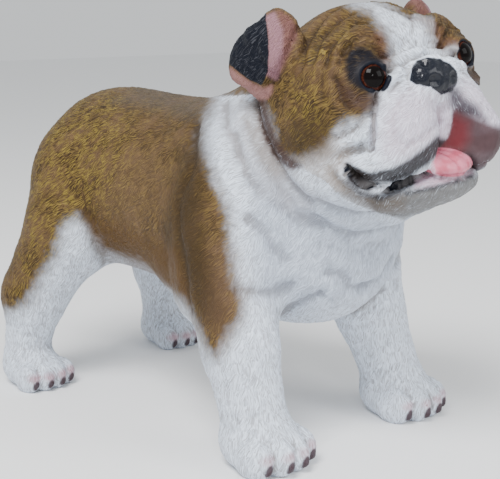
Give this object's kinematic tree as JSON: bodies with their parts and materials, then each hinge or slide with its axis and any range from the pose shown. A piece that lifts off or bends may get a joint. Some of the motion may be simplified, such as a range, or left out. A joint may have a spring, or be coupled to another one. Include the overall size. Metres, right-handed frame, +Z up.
{
  "type": "bulldog garden statue",
  "caption": "Standing bulldog puppy cast in painted resin, head turned aside, mouth open, resting on four flat soles.",
  "frame": {"origin": "on the ground under the middle of the whole figure", "axes": "+Z up, the dog faces -Y, its left side is +X"},
  "size_m": [0.2428, 0.4688, 0.348],
  "materials": {
    "painted_resin": "cast resin with a modelled coat, painted brown and white by hand, satin",
    "eye_glass": "polished dark glass bead"
  },
  "bodies": {
    "root": {"bulldog": "painted_resin", "eye_left": "eye_glass", "eye_right": "eye_glass"}
  },
  "joints": []
}
